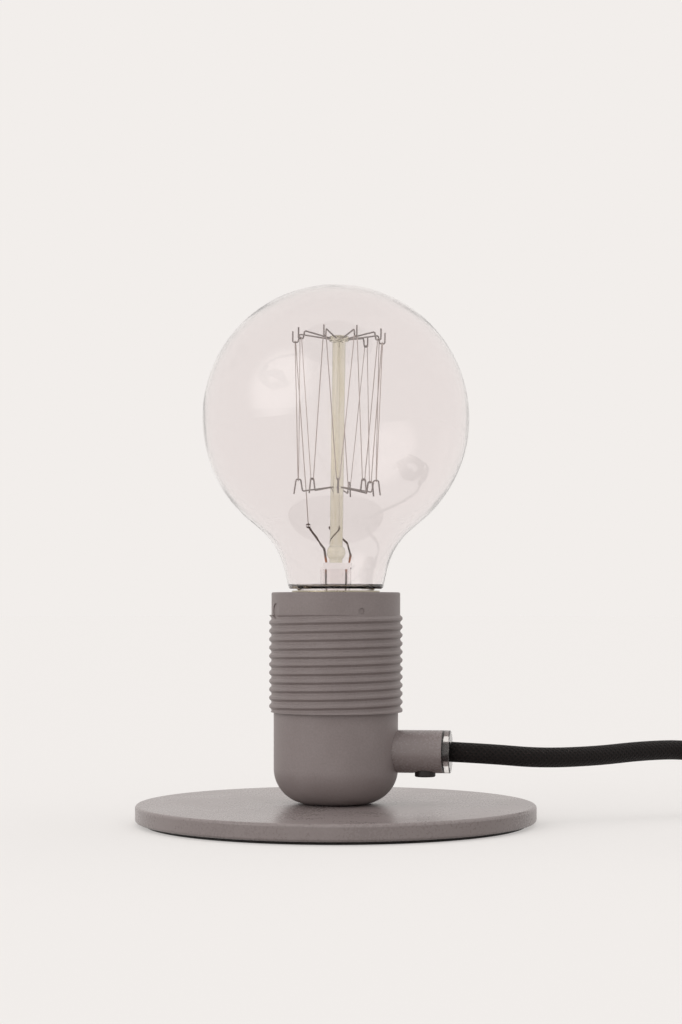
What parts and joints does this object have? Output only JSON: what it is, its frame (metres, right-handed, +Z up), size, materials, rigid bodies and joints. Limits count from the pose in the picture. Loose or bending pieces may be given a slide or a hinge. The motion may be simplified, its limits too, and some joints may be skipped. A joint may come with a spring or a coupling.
{
  "type": "table lamp",
  "caption": "Bare bulb table lamp: disc base, threaded lamp holder with a side cord outlet, clear globe filament bulb, textile cord with switch and flat plug.",
  "frame": {"origin": "on the floor, under the middle of the base", "axes": "+Z up along the bulb, +X along the cord outlet"},
  "size_m": [0.2949, 0.1261, 0.1613],
  "materials": {
    "felt": "dark felt",
    "coated_steel": "warm grey fine powder coat",
    "zinc_steel": "zinc plated",
    "moulded_holder": "warm grey matt moulded thermoset",
    "clear_plastic": "clear polycarbonate",
    "black_nylon": "black nylon",
    "white_insert": "off-white thermoset",
    "brass": "bright",
    "core_brown": "brown core insulation",
    "core_blue": "blue core insulation",
    "textile_cord": "black-brown braided textile",
    "clear_glass": "clear blown",
    "cap_metal": "drawn brass, lightly tinned",
    "cement": "tan basing cement",
    "black_glass": "black vitrified insulation",
    "solder": "soft solder",
    "cream_glass": "cream lead glass",
    "molybdenum": "drawn wire",
    "tungsten": "drawn filament",
    "copper_lead": "oxidised copper-clad wire",
    "black_plastic": "black moulded",
    "black_strap": "woven strap",
    "pin_nickel": "nickel plated brass"
  },
  "bodies": {
    "lamp": {"base_pad": "felt", "base_plate": "coated_steel", "base_bolt": "zinc_steel", "lock_washer": "zinc_steel", "base_nut": "zinc_steel", "cup": "moulded_holder", "stub": "coated_steel", "stub_nut": "zinc_steel", "gland": "clear_plastic", "grip_pad": "black_nylon", "sleeve": "moulded_holder", "insert": "white_insert", "shell_contact": "brass", "centre_leaf": "brass", "terminal_blocks": "brass", "terminal_screws": "zinc_steel", "live_core": "core_brown", "neutral_core": "core_blue", "inner_cord": "textile_cord", "cord_lead": "textile_cord", "cord_link": "textile_cord", "cord_coil": "textile_cord", "cord_tail": "textile_cord", "coil_tie": "black_strap", "switch_bottom": "black_plastic", "switch_top": "black_plastic", "switch_screws": "zinc_steel", "switch_contacts": "brass", "rocker_pin": "zinc_steel", "plug_body": "black_plastic", "plug_relief": "black_plastic", "plug_pins": "pin_nickel"},
    "bulb_foot": {"bulb_contact": "solder"},
    "bulb": {"bulb_glass": "clear_glass", "bulb_cap": "cap_metal", "basing_cement": "cement", "bulb_insulator": "black_glass", "stem": "cream_glass", "support_rod": "cream_glass", "upper_supports": "molybdenum", "lower_supports": "molybdenum", "filament": "tungsten", "lead_wires": "copper_lead"},
    "grip_screw": {"grip_screw": "black_nylon"},
    "rocker": {"rocker": "black_plastic"}
  },
  "joints": [
    {"name": "bulb_lift", "type": "slide", "parent": "lamp", "child": "bulb_foot", "axis": [0, 0, 1], "range_m": [0, 0.01453]},
    {"name": "bulb_turn", "type": "hinge", "parent": "bulb_foot", "child": "bulb", "pos_m": [0, 0, 0.0428], "axis": [0, 0, 1], "range_deg": [0, 1440]},
    {"name": "grip_turn", "type": "hinge", "parent": "lamp", "child": "grip_screw", "pos_m": [0.0269, 0, 0.0143], "axis": [0, 0, -1], "range_deg": [0, 720]},
    {"name": "rocker_tip", "type": "hinge", "parent": "lamp", "child": "rocker", "pos_m": [0.174, 0.046, 0.0164], "axis": [0, 1, 0], "range_deg": [0, 22]}
  ],
  "couplings": [
    {"joint": "bulb_lift", "follows": "bulb_turn", "m_per_rad": 0.00057773}
  ]
}
